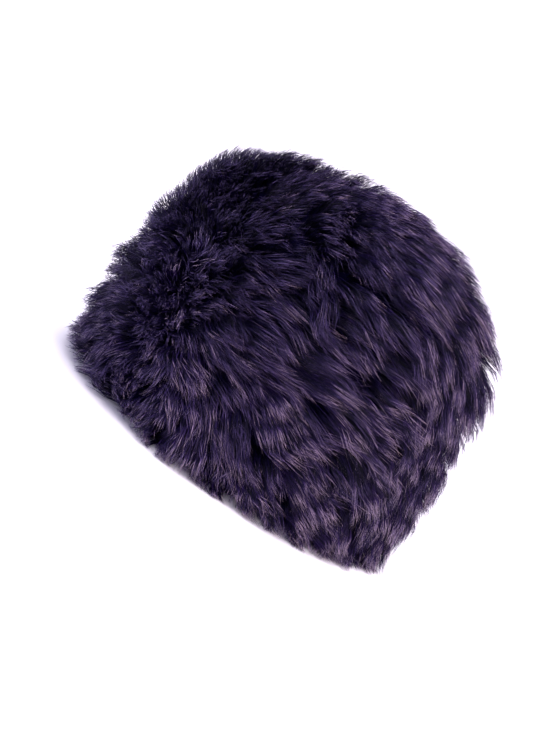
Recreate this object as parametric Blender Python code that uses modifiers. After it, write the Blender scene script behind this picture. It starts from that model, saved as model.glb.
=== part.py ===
"""Cossack hat in long deep-pile fur: an oval tip sewn to a tall side band, hollow and open below.

Metres, +Z up. The origin is on the floor, at the bottom centre of the hat. The wearer faces -Y, and +X is
the wearer's left. Each piece is a wall of knitted backing, under a mat of dense underfur that is drawn out
into locks of long pile.
"""

import math
from collections import namedtuple

import bmesh
import bpy
import numpy as np
from mathutils import Vector

# Head opening and cloth
OPENING_LENGTH = 0.198
OPENING_BREADTH = 0.168
CLOTH = 0.0025
SEAM_GAP = 0.0004

# Side band and tip, measured on the outer face of the cloth
BAND_HEIGHT = 0.150
TIP_RISE = 0.027
HALF_BREADTH = OPENING_BREADTH / 2 + CLOTH
HALF_LENGTH = OPENING_LENGTH / 2 + CLOTH

# Locks: a square net of them on the tip, rows of them round the band, closer together near the seam
TIP_LOCKS = 10
BAND_COLUMNS = 40
BAND_ROWS = 7
ROW_CROWDING = 0.3
NET_STRAY = 0.28
LENGTH_SPREAD = 0.04
END_SPREAD = 0.0050
LOWEST_PILE = 0.0012
FUR_SEED = 7

# The underfur is one mat. Above it a lock keeps its width to its belly, then closes to a blunt end.
PileStage = namedtuple("PileStage", "out drift width")
UNDERFUR = PileStage(out=0.50, drift=0.28, width=1.00)
LOCK_STAGES = (
    PileStage(out=0.82, drift=0.70, width=0.80),
    PileStage(out=1.00, drift=1.00, width=0.36),
)

# How wide the cloth stands at each height, as a share of the opening
WallLevel = namedtuple("WallLevel", "height share")
WALL = (
    WallLevel(height=0.000, share=1.000),
    WallLevel(height=0.022, share=1.000),
    WallLevel(height=0.060, share=1.005),
    WallLevel(height=0.100, share=0.988),
    WallLevel(height=0.128, share=0.945),
    WallLevel(height=0.150, share=0.860),
)

# How the pile stands at each height: degrees above level, how far out, and how far its end falls down
# the cloth and sweeps towards the back of the head
PileLevel = namedtuple("PileLevel", "height lift stand fall sweep")
PILE = (
    PileLevel(height=0.006, lift=0, stand=0.038, fall=0.006, sweep=0.006),
    PileLevel(height=0.028, lift=0, stand=0.046, fall=0.020, sweep=0.010),
    PileLevel(height=0.060, lift=2, stand=0.046, fall=0.024, sweep=0.012),
    PileLevel(height=0.100, lift=8, stand=0.045, fall=0.020, sweep=0.012),
    PileLevel(height=0.128, lift=24, stand=0.043, fall=0.014, sweep=0.010),
    PileLevel(height=0.150, lift=50, stand=0.042, fall=0.010, sweep=0.008),
    PileLevel(height=0.165, lift=72, stand=0.045, fall=0.010, sweep=0.006),
    PileLevel(height=0.177, lift=90, stand=0.047, fall=0.010, sweep=0.004),
)

# The band's pile parts along its centre-back seam
PARTING = 0.007
PARTING_REACH = 0.020

FUR_COLOUR = (0.030, 0.020, 0.052, 1.0)
FUR_ROUGHNESS = 0.75


def clear_scene():
    for item in list(bpy.data.objects):
        bpy.data.objects.remove(item)


def read_table(table, column, height):
    """The value of one column at a height, straight between the table's rows."""
    return float(np.interp(height, [row.height for row in table], [getattr(row, column) for row in table]))


def stand_direction(point):
    """The direction that the pile stands in: square to the oval, lifted by the angle for its height."""
    level = Vector((point.x / HALF_BREADTH**2, point.y / HALF_LENGTH**2, 0.0)).normalized()
    lift = math.radians(read_table(PILE, "lift", point.z))
    return (level * math.cos(lift) + Vector((0, 0, math.sin(lift)))).normalized()


def along_cloth(direction, normal):
    """The part of a direction that lies along the cloth."""
    return direction - normal * direction.dot(normal)


def pile(root, normal):
    """How far the pile stands out at a root on the cloth, and how far its end drifts along the cloth."""
    stand, fall, sweep = (read_table(PILE, name, root.z) for name in ("stand", "fall", "sweep"))
    drift = along_cloth(Vector((0, 0, -fall)), normal) + along_cloth(Vector((0, sweep, 0)), normal)
    if root.y > 0 and root.z < BAND_HEIGHT:
        off_seam = root.x / PARTING_REACH
        drift += Vector((PARTING * 2 * off_seam / (1 + off_seam**2), 0, 0))
    return stand, drift


def wrap_band(across, up):
    """One point of the side band: across runs round the head and up from rim to seam, both -1 to 1."""
    rise = (up + 1) / 2
    height = rise * (1 + ROW_CROWDING * (1 - rise)) * (BAND_HEIGHT - SEAM_GAP)
    share = read_table(WALL, "share", height)
    turn = math.pi * across + math.pi / 4
    return Vector((HALF_BREADTH * share * math.cos(turn), HALF_LENGTH * share * math.sin(turn), height))


def wrap_tip(across, up):
    """One point of the tip: a square net, -1 to 1 both ways, eased onto an oval and raised to a low dome."""
    a = math.sqrt(2) * math.sin(across * math.pi / 4)
    b = math.sqrt(2) * math.sin(up * math.pi / 4)
    x = a * math.sqrt(1 - b * b / 2)
    y = b * math.sqrt(1 - a * a / 2)
    share = WALL[-1].share
    rise = TIP_RISE * (1 - x * x - y * y)
    return Vector((HALF_BREADTH * share * x, HALF_LENGTH * share * y, BAND_HEIGHT + rise))


def strayed(co, columns, rows, ring, strays):
    """A net point moved a share of a cell. Points on an edge stay, and the two ends of a ring move alike."""
    column = round((co.x + 1) / 2 * columns)
    row = round((co.y + 1) / 2 * rows)
    if row in (0, rows) or (not ring and column in (0, columns)):
        return co.x, co.y
    across, up = strays[row, column % columns]
    return co.x + across * 2 / columns, co.y + up * 2 / rows


def cloth_wall(columns, rows, wrap, ring, random):
    """A net of cells wrapped by a formula, made a wall by Solidify. Its first faces are the outer ones."""
    net = bmesh.new()
    bmesh.ops.create_grid(net, x_segments=columns, y_segments=rows, size=1.0)
    strays = random.uniform(-NET_STRAY, NET_STRAY, (rows, columns, 2))
    for vert in net.verts:
        vert.co = wrap(*strayed(vert.co, columns, rows, ring, strays))
    bmesh.ops.remove_doubles(net, verts=net.verts, dist=1e-5)
    net.normal_update()
    if sum(face.normal.dot(stand_direction(face.calc_center_median())) for face in net.faces) < 0:
        bmesh.ops.reverse_faces(net, faces=net.faces)
    mesh = bpy.data.meshes.new("cloth")
    net.to_mesh(mesh)
    net.free()
    wall = bpy.data.objects.new("cloth", mesh)
    bpy.context.scene.collection.objects.link(wall)
    thickness = wall.modifiers.new("thickness", "SOLIDIFY")
    thickness.thickness = CLOTH
    thickness.offset = -1
    thickness.use_even_offset = True
    solid = bpy.data.meshes.new_from_object(wall.evaluated_get(bpy.context.evaluated_depsgraph_get()))
    bpy.data.objects.remove(wall)
    return solid


def raise_underfur(net, faces):
    """Raises the outer faces together into the mat of underfur. Gives its faces, and the root of each corner."""
    roots = {}
    raised = bmesh.ops.extrude_face_region(net, geom=faces)["geom"]
    bmesh.ops.delete(net, geom=faces, context="FACES_ONLY")
    mat = [item for item in raised if isinstance(item, bmesh.types.BMFace)]
    for vert in dict.fromkeys(vert for face in mat for vert in face.verts):
        roots[vert] = vert.co.copy()
        normal = stand_direction(vert.co)
        stand, drift = pile(vert.co, normal)
        vert.co += normal * stand * UNDERFUR.out + drift * UNDERFUR.drift
        vert.co.z = max(vert.co.z, LOWEST_PILE)
    return mat, roots


def draw_locks(net, faces, roots, random):
    """Draws each face out alone into a lock, stage by stage. A lock's corners keep to their own stand lines."""
    plans = [(1 + random.uniform(-LENGTH_SPREAD, LENGTH_SPREAD),
              Vector(random.uniform(-END_SPREAD, END_SPREAD, 3))) for _ in faces]
    for stage in LOCK_STAGES:
        faces = bmesh.ops.extrude_discrete_faces(net, faces=faces)["faces"]
        for face, (longer, stray) in zip(faces, plans):
            for vert in face.verts:
                below = next(edge.other_vert(vert) for edge in vert.link_edges if edge not in face.edges)
                roots[vert] = roots[below]
            corners = [roots[vert] for vert in face.verts]
            root = sum(corners, Vector()) / len(corners)
            normal = stand_direction(root)
            stand, drift = pile(root, normal)
            shift = drift * stage.drift + along_cloth(stray, normal) * stage.drift**3
            out = stand * (stage.out + (longer - 1) * stage.out**3)
            placed = [corner + stand_direction(corner) * out + shift for corner in corners]
            middle = sum(placed, Vector()) / len(placed)
            for vert, place in zip(face.verts, placed):
                vert.co = middle + (place - middle) * stage.width
                vert.co.z = max(vert.co.z, LOWEST_PILE)


def fur_material():
    material = bpy.data.materials.new("purple_long_pile")
    material.use_nodes = True
    surface = material.node_tree.nodes["Principled BSDF"]
    surface.inputs["Base Color"].default_value = FUR_COLOUR
    surface.inputs["Roughness"].default_value = FUR_ROUGHNESS
    surface.inputs["Metallic"].default_value = 0.0
    return material


def trim_level(net, edge_faces, levels):
    """Brings each edge of the cloth to the nearest of its levels, with nothing below the lowest one."""
    for vert in net.verts:
        vert.co.z = max(vert.co.z, min(levels))
    for face in edge_faces:
        for vert in face.verts:
            vert.co.z = min(levels, key=lambda level: abs(vert.co.z - level))


def fur_piece(name, columns, rows, wrap, ring, edge_levels, seed, collection):
    """A wall of fur cloth with its locks, as one closed body."""
    random = np.random.default_rng(seed)
    mesh = cloth_wall(columns, rows, wrap, ring, random)
    net = bmesh.new()
    net.from_mesh(mesh)
    net.faces.ensure_lookup_table()
    locks = columns * rows
    trim_level(net, net.faces[2 * locks:], edge_levels)
    draw_locks(net, *raise_underfur(net, net.faces[:locks]), random)
    for face in net.faces:
        face.smooth = True
    net.normal_update()
    net.to_mesh(mesh)
    net.free()
    mesh.name = name
    mesh.materials.append(fur_material())
    collection.objects.link(bpy.data.objects.new(name, mesh))


def build():
    clear_scene()
    hat = bpy.data.collections.new("cossack_hat")
    bpy.context.scene.collection.children.link(hat)
    band_edges = (0.0, BAND_HEIGHT - SEAM_GAP)
    fur_piece("side_band", BAND_COLUMNS, BAND_ROWS, wrap_band, True, band_edges, FUR_SEED, hat)
    fur_piece("crown_tip", TIP_LOCKS, TIP_LOCKS, wrap_tip, False, (BAND_HEIGHT,), FUR_SEED + 1, hat)


build()
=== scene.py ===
import bpy
import numpy as np
from mathutils import Matrix, Vector


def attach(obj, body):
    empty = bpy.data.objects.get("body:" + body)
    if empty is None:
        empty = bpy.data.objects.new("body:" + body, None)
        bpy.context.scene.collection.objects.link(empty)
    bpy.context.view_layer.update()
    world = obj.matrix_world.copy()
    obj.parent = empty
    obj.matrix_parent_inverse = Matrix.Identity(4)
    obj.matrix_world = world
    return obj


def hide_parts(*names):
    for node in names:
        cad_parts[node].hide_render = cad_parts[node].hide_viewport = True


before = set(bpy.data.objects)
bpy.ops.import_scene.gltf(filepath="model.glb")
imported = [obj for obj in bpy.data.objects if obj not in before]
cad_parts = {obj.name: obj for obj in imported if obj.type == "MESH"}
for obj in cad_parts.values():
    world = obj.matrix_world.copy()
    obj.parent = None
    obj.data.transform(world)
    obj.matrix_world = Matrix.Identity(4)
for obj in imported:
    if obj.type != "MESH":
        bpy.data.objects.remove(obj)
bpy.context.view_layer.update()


# Camera. The hat stands on its rim and is seen from the left and behind, a little above the rim. In the
# photograph it is tipped back, so the picture is turned until the hat leans as it does there.
PICTURE_WIDTH, PICTURE_HEIGHT = 550, 733
PICTURE_SPAN = 0.396
CAMERA_DISTANCE = 1.10
CAMERA_AZIMUTH, CAMERA_ELEVATION, CAMERA_ROLL = np.radians((115, 10.5, 34.5))
HAT_CENTRE = Vector((0, 0, 0.11))
HAT_CENTRE_IN_PICTURE = (308, 325)
SENSOR = 36.0

camera_back = Vector((np.sin(CAMERA_AZIMUTH) * np.cos(CAMERA_ELEVATION),
                      -np.cos(CAMERA_AZIMUTH) * np.cos(CAMERA_ELEVATION),
                      np.sin(CAMERA_ELEVATION)))
level_right = Vector((np.cos(CAMERA_AZIMUTH), np.sin(CAMERA_AZIMUTH), 0))
level_up = camera_back.cross(level_right)
camera_right = level_right * np.cos(CAMERA_ROLL) + level_up * np.sin(CAMERA_ROLL)
camera_up = level_up * np.cos(CAMERA_ROLL) - level_right * np.sin(CAMERA_ROLL)
pixel = PICTURE_SPAN / PICTURE_WIDTH
aim = (HAT_CENTRE + camera_right * (PICTURE_WIDTH / 2 - HAT_CENTRE_IN_PICTURE[0]) * pixel
       - camera_up * (PICTURE_HEIGHT / 2 - HAT_CENTRE_IN_PICTURE[1]) * pixel)
camera = bpy.data.objects.new("camera", bpy.data.cameras.new("camera"))
camera.data.sensor_fit = "HORIZONTAL"
camera.data.sensor_width = SENSOR
camera.data.lens = SENSOR * CAMERA_DISTANCE / PICTURE_SPAN
camera.matrix_world = (Matrix.Translation(aim + camera_back * CAMERA_DISTANCE)
                       @ Matrix((camera_right, camera_up, camera_back)).transposed().to_4x4())
bpy.context.scene.collection.objects.link(camera)
bpy.context.scene.camera = camera


# Fur cloth, side band. A strip of knitted backing goes round the head and is closed by a seam at the back.
# It stands upright from the rim and is eased in at the top, where the tip is sewn to it.
HALF_BREADTH, HALF_LENGTH = 0.0865, 0.1015
CLOTH = 0.0025
BAND_HEIGHT = 0.150
SEAM_GAP = 0.0004
WALL_HEIGHT = (0.000, 0.022, 0.060, 0.100, 0.128, 0.150)
WALL_SHARE = (1.000, 1.000, 1.005, 0.988, 0.945, 0.860)
TURNS, BAND_ROWS = 96, 15


def linear(colour):
    """An sRGB hex colour as linear light: shares above 0.04045 are eased and raised to 2.4, and lower ones
    divided."""
    share = np.array([int(colour[i:i + 2], 16) for i in (1, 3, 5)]) / 255
    return (*np.where(share > 0.04045, ((share + 0.055) / 1.055) ** 2.4, share / 12.92), 1.0)


def new_material(name):
    """A material with an empty node tree, and that tree."""
    material = bpy.data.materials.new(name)
    material.use_nodes = True
    material.node_tree.nodes.clear()
    return material, material.node_tree


def add(tree, kind, inputs=None, **settings):
    """Adds a node with its settings. Each input that is named gets a value, or a link from a socket."""
    new = tree.nodes.new(kind)
    for name, value in settings.items():
        setattr(new, name, value)
    for name, value in (inputs or {}).items():
        if isinstance(value, bpy.types.NodeSocket):
            tree.links.new(value, new.inputs[name])
        else:
            new.inputs[name].default_value = value
    return new


def unit(vectors):
    """Each vector over its length, which counts as a trifle where it is nothing."""
    return vectors / np.maximum(np.linalg.norm(vectors, axis=-1, keepdims=True), 1e-9)


def band_cloth(turn, height):
    """Points of the band's outer face: an oval turned through 2 pi, scaled at each height by the wall's
    share there."""
    share = np.interp(height, WALL_HEIGHT, WALL_SHARE)
    return np.stack([HALF_BREADTH * share * np.cos(turn), HALF_LENGTH * share * np.sin(turn),
                     height + 0 * turn], axis=-1)


def level_out(points):
    """Unit vectors square to the oval at each point: x over the breadth squared, y over the length
    squared."""
    return unit(points * (HALF_BREADTH ** -2, HALF_LENGTH ** -2, 0))


def put_piece(name, verts, loops, sizes, material, uv=None):
    """Makes a smooth piece from arrays: points, the corners of each face after the last one's, and how many
    corners each face has."""
    mesh = bpy.data.meshes.new(name)
    mesh.vertices.add(len(verts))
    mesh.vertices.foreach_set("co", verts.ravel())
    mesh.loops.add(len(loops))
    mesh.loops.foreach_set("vertex_index", loops)
    mesh.polygons.add(len(sizes))
    mesh.polygons.foreach_set("loop_start", np.concatenate(([0], np.cumsum(sizes)[:-1])))
    mesh.polygons.foreach_set("use_smooth", np.ones(len(sizes), bool))
    if uv is not None:
        mesh.uv_layers.new(name="OFBake").data.foreach_set("uv", uv.ravel())
    mesh.update(calc_edges=True)
    mesh.materials.append(material)
    piece = bpy.data.objects.new(name, mesh)
    bpy.context.scene.collection.objects.link(piece)
    return piece


def put_wrapped(name, rings, material, poles=False):
    """A closed piece from a grid of rings, each closed on itself. The last row joins the first, or both end
    in a pole at their middle."""
    rows, columns = rings.shape[:2]
    index = np.arange(rows * columns).reshape(rows, columns)
    below = index[:-1] if poles else index
    above = np.roll(index, -1, axis=0)[:len(below)]
    quads = np.stack([below, np.roll(below, -1, axis=1), np.roll(above, -1, axis=1), above], axis=-1)
    verts = rings.reshape(-1, 3)
    loops, sizes = quads.ravel(), np.full(below.size, 4)
    if poles:
        first = np.stack([index[0], np.full(columns, len(verts)), np.roll(index[0], -1)], axis=-1)
        last = np.stack([index[-1], np.roll(index[-1], -1), np.full(columns, len(verts) + 1)], axis=-1)
        verts = np.vstack([verts, rings[0].mean(axis=0), rings[-1].mean(axis=0)])
        loops = np.concatenate([loops, first.ravel(), last.ravel()])
        sizes = np.concatenate([sizes, np.full(2 * columns, 3)])
    return put_piece(name, verts, loops, sizes, material)


# Knitted polyester backing: matt and dark, dyed with the pile a little unevenly, with rows of small loops
# that catch the light. The wave pattern repeats each 0.314 m at a scale of 1.
LOOP_SPACING, WAVE_REPEAT = 0.0016, 0.314
DYE_PATCHES_PER_METRE = 90.0
knit, tree = new_material("polyester_knit_backing")
place = add(tree, "ShaderNodeTexCoord").outputs["Object"]
rows = add(tree, "ShaderNodeTexWave", {"Vector": place, "Scale": WAVE_REPEAT / LOOP_SPACING,
                                       "Distortion": 1.2, "Detail": 2.0, "Detail Scale": 2.0},
           wave_type="BANDS", bands_direction="Z")
patches = add(tree, "ShaderNodeTexNoise", {"Vector": place, "Scale": DYE_PATCHES_PER_METRE, "Detail": 4.0})
dye = add(tree, "ShaderNodeValToRGB", {"Fac": patches.outputs["Fac"]})
dye.color_ramp.elements[0].color = linear("#1a1426")
dye.color_ramp.elements[1].color = linear("#342a47")
relief = add(tree, "ShaderNodeBump", {"Height": rows.outputs["Fac"], "Strength": 0.6, "Distance": 0.0006})
surface = add(tree, "ShaderNodeBsdfPrincipled", {"Base Color": dye.outputs["Color"], "Roughness": 0.85,
                                                 "Normal": relief.outputs["Normal"], "Sheen Weight": 0.2})
add(tree, "ShaderNodeOutputMaterial", {"Surface": surface.outputs["BSDF"]})

turn, height = np.meshgrid(np.linspace(0, 2 * np.pi, TURNS, endpoint=False),
                           np.linspace(0, BAND_HEIGHT - SEAM_GAP, BAND_ROWS))
outer = band_cloth(turn, height)
inner = (outer - level_out(outer) * CLOTH)[::-1]
side_band_cloth = put_wrapped("side_band_cloth", np.vstack([outer, inner]), knit)
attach(side_band_cloth, "root")
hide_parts("side_band")


# Fur cloth, tip. An oval of the same cloth, sewn in at its edge and raised by the head to a low dome.
# Towards the seam its inner face is drawn in by the cloth's thickness.
TIP_RISE = 0.027
TIP_ROWS, POLE_RING = 12, 0.02
DRAWN_IN_POWER = 6


def tip_cloth(across, along):
    """Points of the tip's outer face: a unit disc stretched to the band's top oval, and lifted by the rise
    times one less the square of the reach."""
    reach = across ** 2 + along ** 2
    return np.stack([HALF_BREADTH * WALL_SHARE[-1] * across, HALF_LENGTH * WALL_SHARE[-1] * along,
                     BAND_HEIGHT + TIP_RISE * (1 - reach)], axis=-1)


turn, reach = np.meshgrid(np.linspace(0, 2 * np.pi, TURNS, endpoint=False),
                          np.linspace(POLE_RING, 1, TIP_ROWS))
outer = tip_cloth(reach * np.cos(turn), reach * np.sin(turn))
inner = outer - (0, 0, CLOTH)
inner[..., 2] = np.maximum(inner[..., 2], BAND_HEIGHT)
inner[..., :2] *= 1 - CLOTH * reach[..., None] ** DRAWN_IN_POWER / HALF_BREADTH
crown_tip_cloth = put_wrapped("crown_tip_cloth", np.vstack([outer, inner[::-1]]), knit, poles=True)
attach(crown_tip_cloth, "root")
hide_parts("crown_tip")


# Underfur of both pieces. Below the long hairs the pile is a dense mat of short ones, crimped together, that
# hides the cloth. It is made as one thick soft coat with the relief of its tufts.
UNDERFUR_SHARE = 0.44
COAT_TURNS, BAND_COAT_ROWS, TIP_COAT_ROWS = 200, 49, 29
COAT_ROOT, COAT_RIM = 0.0003, 0.0005
ROOT_ROW_STEP = 4

# The pile by height over the rim: how far it is lifted from level, how far its ends stand off the cloth at
# the sides, and how much further they do at the very front and at the very back
PILE_HEIGHT = (0.002, 0.028, 0.060, 0.100, 0.128, 0.150, 0.165, 0.177)
PILE_LIFT = np.radians((0, 0, 2, 8, 24, 50, 72, 90))
PILE_STAND = (0.036, 0.046, 0.046, 0.045, 0.043, 0.042, 0.045, 0.047)
FRONT_MORE = (0.004, 0.002, -0.002, 0.000, 0.006, 0.008, 0.006, 0.001)
REAR_MORE = (-0.003, -0.001, 0.001, -0.001, -0.005, -0.006, -0.005, 0.000)

# The pile is uneven: it stands a little longer in broad lumps, which wander over both pieces
LUMP_ALONG = np.array([(0.4, 0.9, 0.3), (0.7, -0.5, 0.6), (-0.2, 0.4, 1)])
LUMP_LENGTH = np.array((0.046, 0.037, 0.029))
LUMP_PHASE = (0.4, 1.9, 0.8)
LUMP_SIZE = 0.045


def stand_direction(roots):
    """The way the pile stands at each root: square to the oval, lifted by the angle for the root's height."""
    lift = np.interp(roots[..., 2:], PILE_HEIGHT, PILE_LIFT)
    return unit(level_out(roots) * np.cos(lift) + np.array((0, 0, 1)) * np.sin(lift))


def pile_length(roots):
    """How far the hair ends stand off each root: the table's length, with more towards the front or the back
    by the square of the share of the way there, times one plus the lumps' sum of sines."""
    along = unit(LUMP_ALONG) * (2 * np.pi / LUMP_LENGTH[:, None])
    lumps = np.sin(roots @ along.T + LUMP_PHASE).sum(axis=-1, keepdims=True)
    share = roots[..., 1:2] / HALF_LENGTH
    stand, front, rear = (np.interp(roots[..., 2:], PILE_HEIGHT, table)
                          for table in (PILE_STAND, FRONT_MORE, REAR_MORE))
    return (stand + share ** 2 * np.where(share < 0, front, rear)) * (1 + LUMP_SIZE * lumps)


# The lay of the pile by height: how far its ends sweep back and fall, at the front, at the sides and behind.
# The band's nap runs down and back from the seam, and the tip's runs up from it and back over the crown.
LAY_HEIGHT = (0.002, 0.028, 0.055, 0.078, 0.100, 0.128, 0.149, 0.151, 0.165, 0.177)
FRONT_SWEEP = (0.000, -0.002, -0.008, -0.010, -0.008, 0.000, 0.006, 0.008, 0.018, 0.026)
FRONT_FALL = (0.002, 0.012, 0.008, 0.002, 0.000, -0.006, -0.008, -0.008, -0.006, 0.000)
SIDE_SWEEP = (0.000, 0.005, 0.016, 0.040, 0.050, 0.042, 0.032, 0.026, 0.030, 0.030)
SIDE_FALL = (0.003, 0.026, 0.024, 0.006, -0.008, -0.003, 0.005, -0.005, -0.004, 0.000)
REAR_SWEEP = (0.016, 0.034, 0.044, 0.048, 0.048, 0.044, 0.036, 0.032, 0.030, 0.028)
REAR_FALL = (0.000, 0.004, 0.003, -0.002, -0.006, -0.012, -0.010, -0.012, -0.006, 0.000)
EAR_LINE, EAR_BLEND = -0.025, 0.030
REAR_LINE, REAR_BLEND = 0.040, 0.040
ZONE_STEEPNESS = 4

# At the back seam the pile parts a little to both sides, and is combed down
PARTING, PARTING_REACH = 0.009, 0.012
SEAM_FALL, SEAM_FALL_REACH = 0.026, 0.060

# Whorls from which the pile spreads out: their places on the cloth, and how far and how strongly they reach
WHORLS = (((0.073, 0.030, 0.142), 0.016, 0.008), ((0.044, 0.018, 0.168), 0.018, 0.012),
          ((-0.078, 0.010, 0.134), 0.030, 0.012), ((-0.030, -0.044, 0.163), 0.024, 0.010),
          ((0.020, -0.096, 0.112), 0.030, 0.012))

# The lay also wanders in broad waves, each pushing the hair ends along one direction
WAVE_PUSH = np.array([(1, 0.4, 0.3), (-0.3, 0.2, 1), (0.2, -1, 0.5), (0.5, 0.6, -0.8), (-0.8, 0.5, 0.4)])
WAVE_ALONG = np.array([(0.3, 1, 0.4), (1, 0.6, 0.1), (0.1, 0.5, 1), (0.9, -0.7, 0.5), (-0.4, 0.8, -0.9)])
WAVE_LENGTH = np.array((0.070, 0.055, 0.047, 0.036, 0.027))
WAVE_SIZE = np.array((0.0050, 0.0050, 0.0045, 0.0045, 0.0035))


def wander(roots):
    """Push at each root: the sum of the waves, each its size times the sine of the distance along it, and a
    radian ahead of the wave before it."""
    along = unit(WAVE_ALONG) * (2 * np.pi / WAVE_LENGTH[:, None])
    return np.sin(roots @ along.T + np.arange(len(WAVE_SIZE))) @ (unit(WAVE_PUSH) * WAVE_SIZE[:, None])


def zones(roots):
    """Shares of the lay behind the ears and of the lay at the rear: an S curve from 0 to 1 over each line."""
    return [1 / (1 + np.exp(-ZONE_STEEPNESS * (roots[..., 1] - line) / blend))
            for line, blend in ((EAR_LINE, EAR_BLEND), (REAR_LINE, REAR_BLEND))]


def drift(roots, stand):
    """How far hair ends move along the cloth: the lays of front, sides and rear by their shares, the fall and
    the parting at the back seam, each whorl's outward push, which peaks at its reach, and the waves."""
    height = roots[..., 2]
    side, rear = zones(roots)
    sweep, fall = ((1 - side) * np.interp(height, LAY_HEIGHT, front)
                   + (side - rear) * np.interp(height, LAY_HEIGHT, middle)
                   + rear * np.interp(height, LAY_HEIGHT, back)
                   for front, middle, back in ((FRONT_SWEEP, SIDE_SWEEP, REAR_SWEEP),
                                               (FRONT_FALL, SIDE_FALL, REAR_FALL)))
    fall = fall + SEAM_FALL * rear * np.exp(-(roots[..., 0] / SEAM_FALL_REACH) ** 2)
    off_seam = roots[..., 0] / PARTING_REACH
    on_back = (roots[..., 1] > 0) & (height < BAND_HEIGHT)
    aside = np.where(on_back, PARTING * 2 * off_seam / (1 + off_seam ** 2), 0)
    push = np.stack([aside, sweep, -fall], axis=-1) + wander(roots)
    for centre, reach, strength in WHORLS:
        away = (roots - centre) / reach
        push = push + strength * away * np.exp(0.5 * (1 - np.sum(away ** 2, axis=-1, keepdims=True)))
    return push - stand * np.sum(push * stand, axis=-1, keepdims=True)


# Pile on the floor: the height below which it is crushed, the least share of it left, and how much of what
# it loses goes outwards
FLOOR_CRUSH, FLOOR_LEAST, FLOOR_GIVE = 0.006, 0.1, 0.3


def rest_on_floor(points, out):
    """Pile that would reach under the floor is pressed flat on it: below the crush height, the height left
    falls off as an exponential to the least share. It gives way outwards by a share of what it lost."""
    low = np.minimum(points[..., 2] - FLOOR_CRUSH, 0)
    ease = 1 - FLOOR_LEAST
    left = FLOOR_CRUSH * (FLOOR_LEAST + ease * np.exp(low / FLOOR_CRUSH / ease))
    lifted = points.copy()
    lifted[..., 2] = np.maximum(points[..., 2], left)
    return lifted + out * (1, 1, 0) * FLOOR_GIVE * (lifted[..., 2:] - points[..., 2:])


# Tufts of the underfur: coarse and fine ones, with their spacing, crossed directions and share of the relief.
# Then the relief's size as a share of the coat, and what three sines come to together.
TUFTS = ((0.011, ((1, 0.5, 0.2), (-0.4, 1, 0.3), (0.2, -0.3, 1)), 0.6),
         (0.0047, ((1, -0.6, 0.3), (0.5, 1, -0.4), (-0.2, 0.5, 1)), 0.4))
TUFT_RELIEF, THREE_SINES = 0.16, 1.7


def tuft_relief(points):
    """Relief of the tufts, about -1 to 1: for each kind, its share of the sum of three sines."""
    return sum(share * np.sin(points @ (np.array(ways).T * (2 * np.pi / spacing))).sum(axis=-1) / THREE_SINES
               for spacing, ways, share in TUFTS)


def underfur_coat(cloth):
    """A thick coat over points of the cloth. Its outer face takes their share of the pile's stand and drift,
    with relief, and its inner face lies just off the cloth in fewer rows."""
    stand = stand_direction(cloth)
    share = UNDERFUR_SHARE * (1 + TUFT_RELIEF * tuft_relief(cloth)[..., None])
    outer = cloth + stand * pile_length(cloth) * share + drift(cloth, stand) * share ** 2
    inner = (cloth + stand * COAT_ROOT)[::-1][::ROOT_ROW_STEP]
    return np.vstack([rest_on_floor(outer, stand), inner])


# Crimped acrylic fibre seen as a mass: painted shade makes it an even blue black, as little light gets down
# to it, and it has no gloss
FIBRE_TUFTS_PER_METRE = 700.0
underfur, tree = new_material("acrylic_underfur_painted_shade")
place = add(tree, "ShaderNodeTexCoord").outputs["Object"]
fibres = add(tree, "ShaderNodeTexNoise", {"Vector": place, "Scale": FIBRE_TUFTS_PER_METRE, "Detail": 3.0,
                                          "Roughness": 0.7})
# Painted shade: the ramp's near-black colours stand for the shade deep in the pile
shade = add(tree, "ShaderNodeValToRGB", {"Fac": fibres.outputs["Fac"]})
shade.color_ramp.elements[0].color = linear("#030214")
shade.color_ramp.elements[0].position = 0.38
shade.color_ramp.elements[1].color = linear("#0a071c")
shade.color_ramp.elements[1].position = 0.72
relief = add(tree, "ShaderNodeBump", {"Height": fibres.outputs["Fac"], "Strength": 0.9, "Distance": 0.001})
surface = add(tree, "ShaderNodeBsdfPrincipled", {"Base Color": shade.outputs["Color"], "Roughness": 1.0,
                                                 "Normal": relief.outputs["Normal"],
                                                 "Specular IOR Level": 0.0})
add(tree, "ShaderNodeOutputMaterial", {"Surface": surface.outputs["BSDF"]})

coat_turn = np.linspace(0, 2 * np.pi, COAT_TURNS, endpoint=False)
turn, height = np.meshgrid(coat_turn, np.linspace(COAT_RIM, BAND_HEIGHT - SEAM_GAP, BAND_COAT_ROWS))
side_band_underfur = put_wrapped("side_band_underfur", underfur_coat(band_cloth(turn, height)), underfur)
turn, reach = np.meshgrid(coat_turn, np.linspace(POLE_RING, 1, TIP_COAT_ROWS))
crown_tip_underfur = put_wrapped("crown_tip_underfur",
                                 underfur_coat(tip_cloth(reach * np.cos(turn), reach * np.sin(turn))),
                                 underfur, poles=True)
for piece, node in ((side_band_underfur, "side_band"), (crown_tip_underfur, "crown_tip")):
    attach(piece, "root")
    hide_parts(node)


# Hairs of both pieces. Acrylic fibres about 55 mm long stand in locks, and each lock parts into wisps of a
# few hairs that close towards their ends. They are drawn coarser than real fibre, so that each still shows.
LOCK_RADIUS, WISP_RADIUS = 0.0028, 0.0014
WISP_CLOSING, LOCK_CLOSING, LOCK_CLOSING_POWER = 0.50, 0.62, 1.2
LEAST_AREA, MOST_AREA = 0.35, 4
FUR_SEED = 11

# A few locks lean together as a clump. Clumps, locks, wisps and hairs each stray from the lay by so much.
LOCKS_PER_CLUMP, CLUMP_PULL = 7, 0.80
CLUMP_STRAY, LOCK_STRAY, WISP_STRAY, HAIR_STRAY = 0.0048, 0.0019, 0.0012, 0.0015

# Locks and wisps differ in length by a share, and hairs by a share between a least, a usual and a most one
LENGTH_SPREAD = 0.02
HAIR_LENGTH_SPREAD = (-0.10, 0.02, 0.04)

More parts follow.
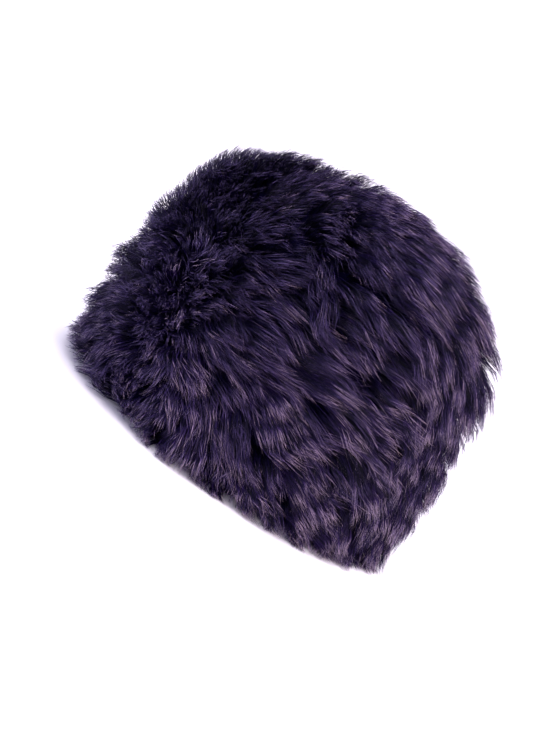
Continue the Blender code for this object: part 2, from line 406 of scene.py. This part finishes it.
# A hair rises fast at first, and its shift with the lay grows late, so that its end lies along the pile. The
# pile is round, with this radius, and an end that has shifted is let down to stay on it.
RISE_POWER, SHIFT_POWER, SHIFT_SIZE = 1.6, 1.75, 1.20
PILE_ROUND = 0.15

# Waves in a hair: their width at its end, the least and the most share of it that a wisp has, their turn
# along the hair in radians, and how far locks and wisps are out of step
CURL_WIDTH, CURL_SHARE = 0.0034, (0.5, 1.5)
CURL_TURN, LOCK_CURL, WISP_CURL = 7.0, 0.5, 0.4

# Tone of the hair, from 0 for the darkest to 1: painted light and shade by height, painted light that makes
# it paler towards the back, and the dye's spread by kind
PILE_TONE_AND_PAINTED_LIGHT = (0.55, 0.56, 0.47, 0.35, 0.24, 0.22, 0.30, 0.42)
PAINTED_LIGHT_BEHIND = 0.23
CLUMP_TONE, LOCK_TONE, WISP_TONE, HAIR_TONE = 0.13, 0.11, 0.12, 0.08
LEAST_TONE, MOST_TONE = 0.03, 0.97

# How loose the clumps are and how much tones differ: at the front, more behind the ears, more at the rear
LOOSE_BY_ZONE, TONE_BY_ZONE = (0.35, 0.20, 0.35), (0.95, 0.35, 0.60)


def even_spread(count):
    """Points strewn evenly over the unit square: each steps on from the last by one over the plastic number
    along one side, and by one over its square along the other."""
    plastic = 1.324717957244746
    return (np.arange(count)[:, None] * (1 / plastic, 1 / plastic ** 2) + 0.5) % 1


def even_places(count, wrap, across, up):
    """Places from which the hair ends lie evenly. Evenly strewn points are moved so that equal shares of them
    fall on equal shares of the area that the ends cover: first along one side, then along the other. A cell
    counts for no less and no more than the stated shares of the mean area."""
    grid = wrap(*np.meshgrid(across, up, indexing="ij"))
    stand = stand_direction(grid)
    ends = grid + stand * pile_length(grid) + drift(grid, stand)
    area = np.linalg.norm(np.cross(np.diff(ends, axis=0)[:, 1:], np.diff(ends, axis=1)[1:]), axis=-1)
    area = np.clip(area, LEAST_AREA * area.mean(), MOST_AREA * area.mean())
    strewn = even_spread(count)
    side_share = np.concatenate(([0], np.cumsum(area.sum(axis=1)))) / area.sum()
    first = np.interp(strewn[:, 0], side_share, across)
    cell = np.clip(np.searchsorted(side_share, strewn[:, 0]) - 1, 0, len(area) - 1)
    up_share = np.concatenate([np.zeros((len(area), 1)), np.cumsum(area, axis=1)], axis=1)[cell]
    up_share = up_share / up_share[:, -1:]
    step = (up_share[:, 1:-1] < strewn[:, 1:]).sum(axis=1)
    pick = np.arange(count)
    part = (strewn[:, 1] - up_share[pick, step]) / (up_share[pick, step + 1] - up_share[pick, step])
    return first, up[step] + (up[step + 1] - up[step]) * part


def disc(random, shape, radius):
    """Points strewn evenly over a disc: an even turn, and a radius that is the root of an even share."""
    turn, share = random.uniform(0, 2 * np.pi, shape), random.uniform(0, 1, shape)
    return radius * np.sqrt(share)[..., None] * np.stack([np.cos(turn), np.sin(turn)], axis=-1)


def hairs_in_locks(wrap, centres, clumps, per_metre, wisps, hairs, reach, gather, steps, random):
    """Hair paths and tones. A hair rises along its own stand line, is drawn towards its wisp's and its lock's
    line by a share that grows along it, and shifts with its lock's drift by a power of the way along. It is
    let down by the square of its shift over twice the pile's round. Each lock leans towards the nearest
    clump's root, and the locks of a clump stray, curl and shade alike."""
    count = len(centres)
    per_lock, per_wisp, per_hair = (count, 1, 1), (count, wisps, 1), (count, wisps, hairs)
    clump_root, root = wrap(clumps[:, 0], clumps[:, 1]), wrap(centres[:, 0], centres[:, 1])
    near = np.argmin(((root[:, None] - clump_root) ** 2).sum(axis=-1), axis=1)
    side, rear = zones(root)
    loose, spread = (front + more * side + most * rear
                     for front, more, most in (LOOSE_BY_ZONE, TONE_BY_ZONE))
    lean = (loose[:, None] * gather * CLUMP_PULL * (clump_root[near] - root)
            + loose[:, None] * random.normal(0, CLUMP_STRAY, (len(clumps), 3))[near])
    clump_phase = random.uniform(0, 2 * np.pi, len(clumps))[near]
    clump_tone = loose * random.normal(0, CLUMP_TONE, len(clumps))[near]

    wisp_at = centres[:, None] + disc(random, (count, wisps), LOCK_RADIUS) * per_metre
    hair_at = wisp_at[:, :, None] + disc(random, per_hair, WISP_RADIUS) * per_metre
    roots = [wrap(at[..., 0], at[..., 1]) for at in (centres[:, None, None], wisp_at[:, :, None], hair_at)]
    stands = [stand_direction(each) for each in roots]
    lock_root, lock_stand = roots[0], stands[0]
    length = (reach * pile_length(lock_root)
              * (1 + random.normal(0, LENGTH_SPREAD, (*per_lock, 1))
                 + random.normal(0, LENGTH_SPREAD, (*per_wisp, 1))
                 + random.triangular(*HAIR_LENGTH_SPREAD, (*per_hair, 1))))
    stray = (lean[:, None, None] + random.normal(0, LOCK_STRAY, (*per_lock, 3))
             + random.normal(0, WISP_STRAY, (*per_wisp, 3)) + random.normal(0, HAIR_STRAY, (*per_hair, 3)))
    bend = (drift(lock_root, lock_stand) + stray
            - lock_stand * np.sum(stray * lock_stand, axis=-1, keepdims=True))
    phase = (clump_phase[:, None, None, None] + random.normal(0, LOCK_CURL, (*per_lock, 1))
             + random.normal(0, WISP_CURL, (*per_wisp, 1)))
    curl_way = unit(np.cross(lock_stand, bend)) * random.uniform(*CURL_SHARE, (*per_wisp, 1))

    path = []
    for step in steps:
        rise = length * (1 - (1 - step) ** RISE_POWER)
        at_lock, at_wisp, at_hair = (foot + stand * rise for foot, stand in zip(roots, stands))
        point = at_hair + gather * ((at_wisp - at_hair) * WISP_CLOSING * step
                                    + (at_lock - at_wisp) * LOCK_CLOSING * step ** LOCK_CLOSING_POWER)
        shift = bend * SHIFT_SIZE * reach ** 2 * step ** SHIFT_POWER
        let_down = np.sum(shift ** 2, axis=-1, keepdims=True) / (2 * PILE_ROUND)
        curl = curl_way * CURL_WIDTH * step * np.sin(phase + CURL_TURN * step)
        path.append(rest_on_floor(point + shift - lock_stand * let_down + curl, lock_stand))

    towards_back = np.clip(root[:, 1] / HALF_LENGTH, 0, 1)
    # Painted light and shade by height and painted light towards the back, with the clump's own random dye
    # tone
    lock_tone = np.interp(root[:, 2], PILE_HEIGHT, PILE_TONE_AND_PAINTED_LIGHT) + PAINTED_LIGHT_BEHIND * towards_back ** 2 + clump_tone
    tone = (lock_tone[:, None, None] + spread[:, None, None]
            * (random.normal(0, LOCK_TONE, per_lock) + random.normal(0, WISP_TONE, per_wisp)
               + random.normal(0, HAIR_TONE, per_hair)))
    return (np.stack(path, axis=-2).reshape(-1, len(steps), 3),
            np.clip(tone, LEAST_TONE, MOST_TONE).ravel())


# A hair is a thin prism of this many sides. It thins by this share up to its point, and its sides differ in
# tone by this much. No hair runs along the guide, from which its sides are turned.
HAIR_SIDES = 3
THINNING = 0.6
TONE_ACROSS = (-0.02, 0.0, 0.02)
SIDE_GUIDE = (0.31, 0.47, 0.83)


def put_hairs(name, paths, steps, tones, widest, material):
    """Closed hairs: a ring square to the path at each step but the last, which is the point. Their radius
    falls off from the widest by the square of the way along. The map runs across by the hair's tone and up
    from root to point."""
    along = unit(np.gradient(paths, axis=1))
    side = unit(np.cross(along, SIDE_GUIDE))
    other = np.cross(along, side)
    corner = np.arange(HAIR_SIDES) * 2 * np.pi / HAIR_SIDES
    ring = side[:, :-1, None] * np.cos(corner)[:, None] + other[:, :-1, None] * np.sin(corner)[:, None]
    radius = widest * (1 - ((steps - steps[0]) / (1 - steps[0])) ** 2 * THINNING)
    rings = paths[:, :-1, None] + ring * radius[:-1, None, None]
    verts = np.concatenate([rings.reshape(len(paths), -1, 3), paths[:, -1:]], axis=1)

    levels = len(steps) - 1
    here = np.arange(HAIR_SIDES)
    after = np.roll(here, -1)
    wall = np.stack([here, after, HAIR_SIDES + after, HAIR_SIDES + here], axis=-1)
    walls = wall + HAIR_SIDES * np.arange(levels - 1)[:, None, None]
    last = HAIR_SIDES * (levels - 1)
    top = np.stack([last + here, last + after, np.full(HAIR_SIDES, HAIR_SIDES * levels)], axis=-1)
    foot = np.roll(here[::-1], 1)
    loops = np.concatenate([foot, walls.ravel(), top.ravel()])
    sizes = np.concatenate([(HAIR_SIDES,), np.full(HAIR_SIDES * (levels - 1), 4), np.full(HAIR_SIDES, 3)])
    all_loops = (loops + np.arange(len(paths))[:, None] * verts.shape[1]).ravel()

    up = np.append(np.repeat(steps[:-1], HAIR_SIDES), 1.0)
    across = np.append(np.tile(TONE_ACROSS, levels), 0.0)
    uv = np.stack([(tones[:, None] + across)[:, loops],
                   np.broadcast_to(up[loops], (len(paths), len(loops)))], axis=-1)
    return put_piece(name, verts.reshape(-1, 3), all_loops, np.tile(sizes, len(paths)), material, uv)


# Silky acrylic hair of an aubergine dye, with painted shade darkening it towards the root, where little light
# gets in, and a painted cool lilac highlight towards its end. Painted glints stand for crimped fibre catching
# the
# light: each hair is brightened and darkened in short stretches, about 3 mm long, which differ from one tone
# to the next.
# Painted glints: how long a stretch is, how long a hair is, and how finely the pattern changes across the
# tones
GLINT_STRETCH, HAIR_LENGTH, GLINTS_ACROSS = 0.003, 0.055, 16
hair, tree = new_material("silky_acrylic_hair_painted_light")
uv = add(tree, "ShaderNodeUVMap", uv_map="OFBake")
split = add(tree, "ShaderNodeSeparateXYZ", {"Vector": uv.outputs["UV"]})
# Painted shade near the root and a painted pale lilac highlight at the end of each hair
along = add(tree, "ShaderNodeValToRGB", {"Fac": split.outputs["Y"]})
along.color_ramp.elements[0].position = 0.42
along.color_ramp.elements[0].color = linear("#0d0a2c")
along.color_ramp.elements[1].position = 1.0
along.color_ramp.elements[1].color = linear("#e4d6e6")
middle = along.color_ramp.elements.new(0.79)
middle.color = linear("#2e1f4d")
# Tone to colour: the dye's random spread, with the painted light and shade by height and towards the back
tint = add(tree, "ShaderNodeValToRGB", {"Fac": split.outputs["X"]})
tint.color_ramp.elements[0].color = linear("#141034")
tint.color_ramp.elements[1].color = linear("#fff4f6")
most = tint.color_ramp.elements.new(0.55)
most.color = linear("#746b96")
# The hair's colour: its tone's colour times the painted root shade and tip highlight
dye_and_painted_light = add(tree, "ShaderNodeMix", {0: 1.0, 6: along.outputs["Color"], 7: tint.outputs["Color"]},
           data_type="RGBA", blend_type="MULTIPLY")
stretch = add(tree, "ShaderNodeMapping", {"Vector": uv.outputs["UV"],
                                          "Scale": (GLINTS_ACROSS, HAIR_LENGTH / GLINT_STRETCH / 2, 1)})
crimp_glints = add(tree, "ShaderNodeTexNoise", {"Vector": stretch.outputs["Vector"], "Scale": 1.0, "Detail": 2.0,
                                         "Roughness": 0.6})
# Painted glints: the noise brightens the hair's colour up to 2.4 times in short stretches, and darkens it to
# 0.22 times between them
catch = add(tree, "ShaderNodeMapRange", {"Value": crimp_glints.outputs["Fac"], "From Min": 0.39, "From Max": 0.67,
                                         "To Min": 0.22, "To Max": 2.4})
painted_glint = add(tree, "ShaderNodeVectorMath", {0: dye_and_painted_light.outputs[2], "Scale": catch.outputs["Result"]},
            operation="SCALE")
surface = add(tree, "ShaderNodeBsdfPrincipled", {"Base Color": painted_glint.outputs["Vector"], "Roughness": 0.45,
                                                 "Specular IOR Level": 0.14})
add(tree, "ShaderNodeOutputMaterial", {"Surface": surface.outputs["BSDF"]})

TIP_EDGE = 0.995


def band_wrap(turn, height):
    """The band's outer face by turn and height, which is held a seam's gap inside both edges."""
    return band_cloth(turn, np.clip(height, SEAM_GAP, BAND_HEIGHT - SEAM_GAP))


def tip_wrap(across, along):
    """The tip's outer face by shares across and along, drawn in to its edge where they reach past it."""
    reach = np.maximum(1, np.sqrt(across ** 2 + along ** 2) / TIP_EDGE)
    return tip_cloth(across / reach, along / reach)


def tip_round(turn, reach):
    """The tip's outer face by turn, and by reach from its middle at 0 to its edge at 1."""
    return tip_wrap(reach * np.cos(turn), reach * np.sin(turn))


# Radians of turn on the band, and shares of the tip's half breadth and half length, that make a metre
band_per_metre = np.array((2 / (HALF_BREADTH + HALF_LENGTH), 1))
tip_per_metre = 1 / np.array((HALF_BREADTH, HALF_LENGTH)) / WALL_SHARE[-1]

# Grids on which the even places are worked out
round_turn = np.linspace(0, 2 * np.pi, 145)
up_band = np.linspace(0.001, BAND_HEIGHT - 0.001, 60)
out_tip = np.linspace(0.01, 0.99, 40)

# Short loose hairs cover the underfur, and long ones gathered into locks make the outside. Each coat has its
# locks on the band and on the tip, wisps in a lock, hairs in a wisp, share of the pile's length, how far its
# locks close, the steps along a hair at which its rings and its point lie, and its widest radius.
COATS = {
    "short_hair": (1500, 380, 3, 4, 0.78, 0.4, np.array((0.30, 0.70, 1.0)), 0.00022),
    "long_hair": (3900, 1000, 3, 3, 1.00, 0.95, np.array((0.32, 0.58, 0.80, 1.0)), 0.00021),
}
QUARTERS = ("back_left", "back_right", "front_right", "front_left")
random = np.random.default_rng(FUR_SEED)
pieces = []
for coat, (band_locks, tip_locks, wisps, hairs, reach, gather, steps, widest) in COATS.items():
    places = [even_places(number, band_wrap, round_turn, up_band)
              for number in (band_locks, band_locks // LOCKS_PER_CLUMP)]
    locks, clumps = (np.stack(place, axis=-1) for place in places)
    paths, tones = hairs_in_locks(band_wrap, locks, clumps, band_per_metre, wisps, hairs, reach, gather,
                                  steps, random)
    quarter = np.repeat((locks[:, 0] // (np.pi / 2)).astype(int), wisps * hairs)
    for number, name in enumerate(QUARTERS):
        pieces.append((put_hairs(f"side_band_{coat}_{name}", paths[quarter == number], steps,
                                 tones[quarter == number], widest, hair), "side_band"))
    places = [even_places(number, tip_round, round_turn, out_tip)
              for number in (tip_locks, tip_locks // LOCKS_PER_CLUMP)]
    locks, clumps = (np.stack([out * np.cos(turn), out * np.sin(turn)], axis=-1) for turn, out in places)
    paths, tones = hairs_in_locks(tip_wrap, locks, clumps, tip_per_metre, wisps, hairs, reach, gather,
                                  steps, random)
    pieces.append((put_hairs(f"crown_tip_{coat}", paths, steps, tones, widest, hair), "crown_tip"))
for piece, node in pieces:
    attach(piece, "root")
    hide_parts(node)


# Studio: a pale seamless floor under a pale sky, and five broad soft lamps far off: one nearly overhead, one
# on the camera's side, one behind the hat, and weaker ones before it and on its far side.
FLOOR_REACH = 60
floor_mesh = bpy.data.meshes.new("floor")
floor_mesh.from_pydata([(-FLOOR_REACH, -FLOOR_REACH, 0), (FLOOR_REACH, -FLOOR_REACH, 0),
                        (FLOOR_REACH, FLOOR_REACH, 0), (-FLOOR_REACH, FLOOR_REACH, 0)], [], [(0, 1, 2, 3)])
floor = bpy.data.objects.new("floor", floor_mesh)
bpy.context.scene.collection.objects.link(floor)
paper, tree = new_material("matt_white_paper")
surface = add(tree, "ShaderNodeBsdfPrincipled", {"Base Color": linear("#f4f3f4"), "Roughness": 0.9})
add(tree, "ShaderNodeOutputMaterial", {"Surface": surface.outputs["BSDF"]})
floor_mesh.materials.append(paper)

# The camera sees a white sky, so that the floor ends in it without a line, while its light on the hat is low
world = bpy.data.worlds.new("studio")
bpy.context.scene.world = world
world.use_nodes = True
world.node_tree.nodes.clear()
seen = add(world.node_tree, "ShaderNodeLightPath").outputs["Is Camera Ray"]
fill = add(world.node_tree, "ShaderNodeBackground", {"Color": linear("#e4dcf6"), "Strength": 0.42})
sky = add(world.node_tree, "ShaderNodeBackground", {"Color": (1, 1, 1, 1), "Strength": 1.1})
mixed = add(world.node_tree, "ShaderNodeMixShader", {0: seen, 1: fill.outputs[0], 2: sky.outputs[0]})
add(world.node_tree, "ShaderNodeOutputWorld", {"Surface": mixed.outputs[0]})


def put_lamp(name, towards, softness, strength, colour):
    """A far lamp: its light comes evenly from one side, through a window of sky as wide as its softness."""
    lamp = bpy.data.objects.new(name, bpy.data.lights.new(name, "SUN"))
    lamp.data.angle = np.radians(softness)
    lamp.data.energy = strength
    lamp.data.color = linear(colour)[:3]
    lamp.rotation_euler = Vector(towards).to_track_quat("Z", "Y").to_euler()
    bpy.context.scene.collection.objects.link(lamp)


put_lamp("top_lamp", (0.20, 0.20, 1.0), 50, 4.0, "#fcf6ff")
put_lamp("side_lamp", (1.0, 0.2, 0.22), 60, 2.3, "#e4e0ff")
put_lamp("rear_lamp", (0.2, 1.0, 0.20), 60, 2.3, "#ffd9dc")
put_lamp("front_lamp", (0.6, -1.0, 0.2), 60, 1.5, "#c8ccff")
put_lamp("far_lamp", (-0.9, -0.1, 0.5), 60, 1.6, "#e6e6ff")
bpy.context.scene.view_settings.view_transform = "Standard"
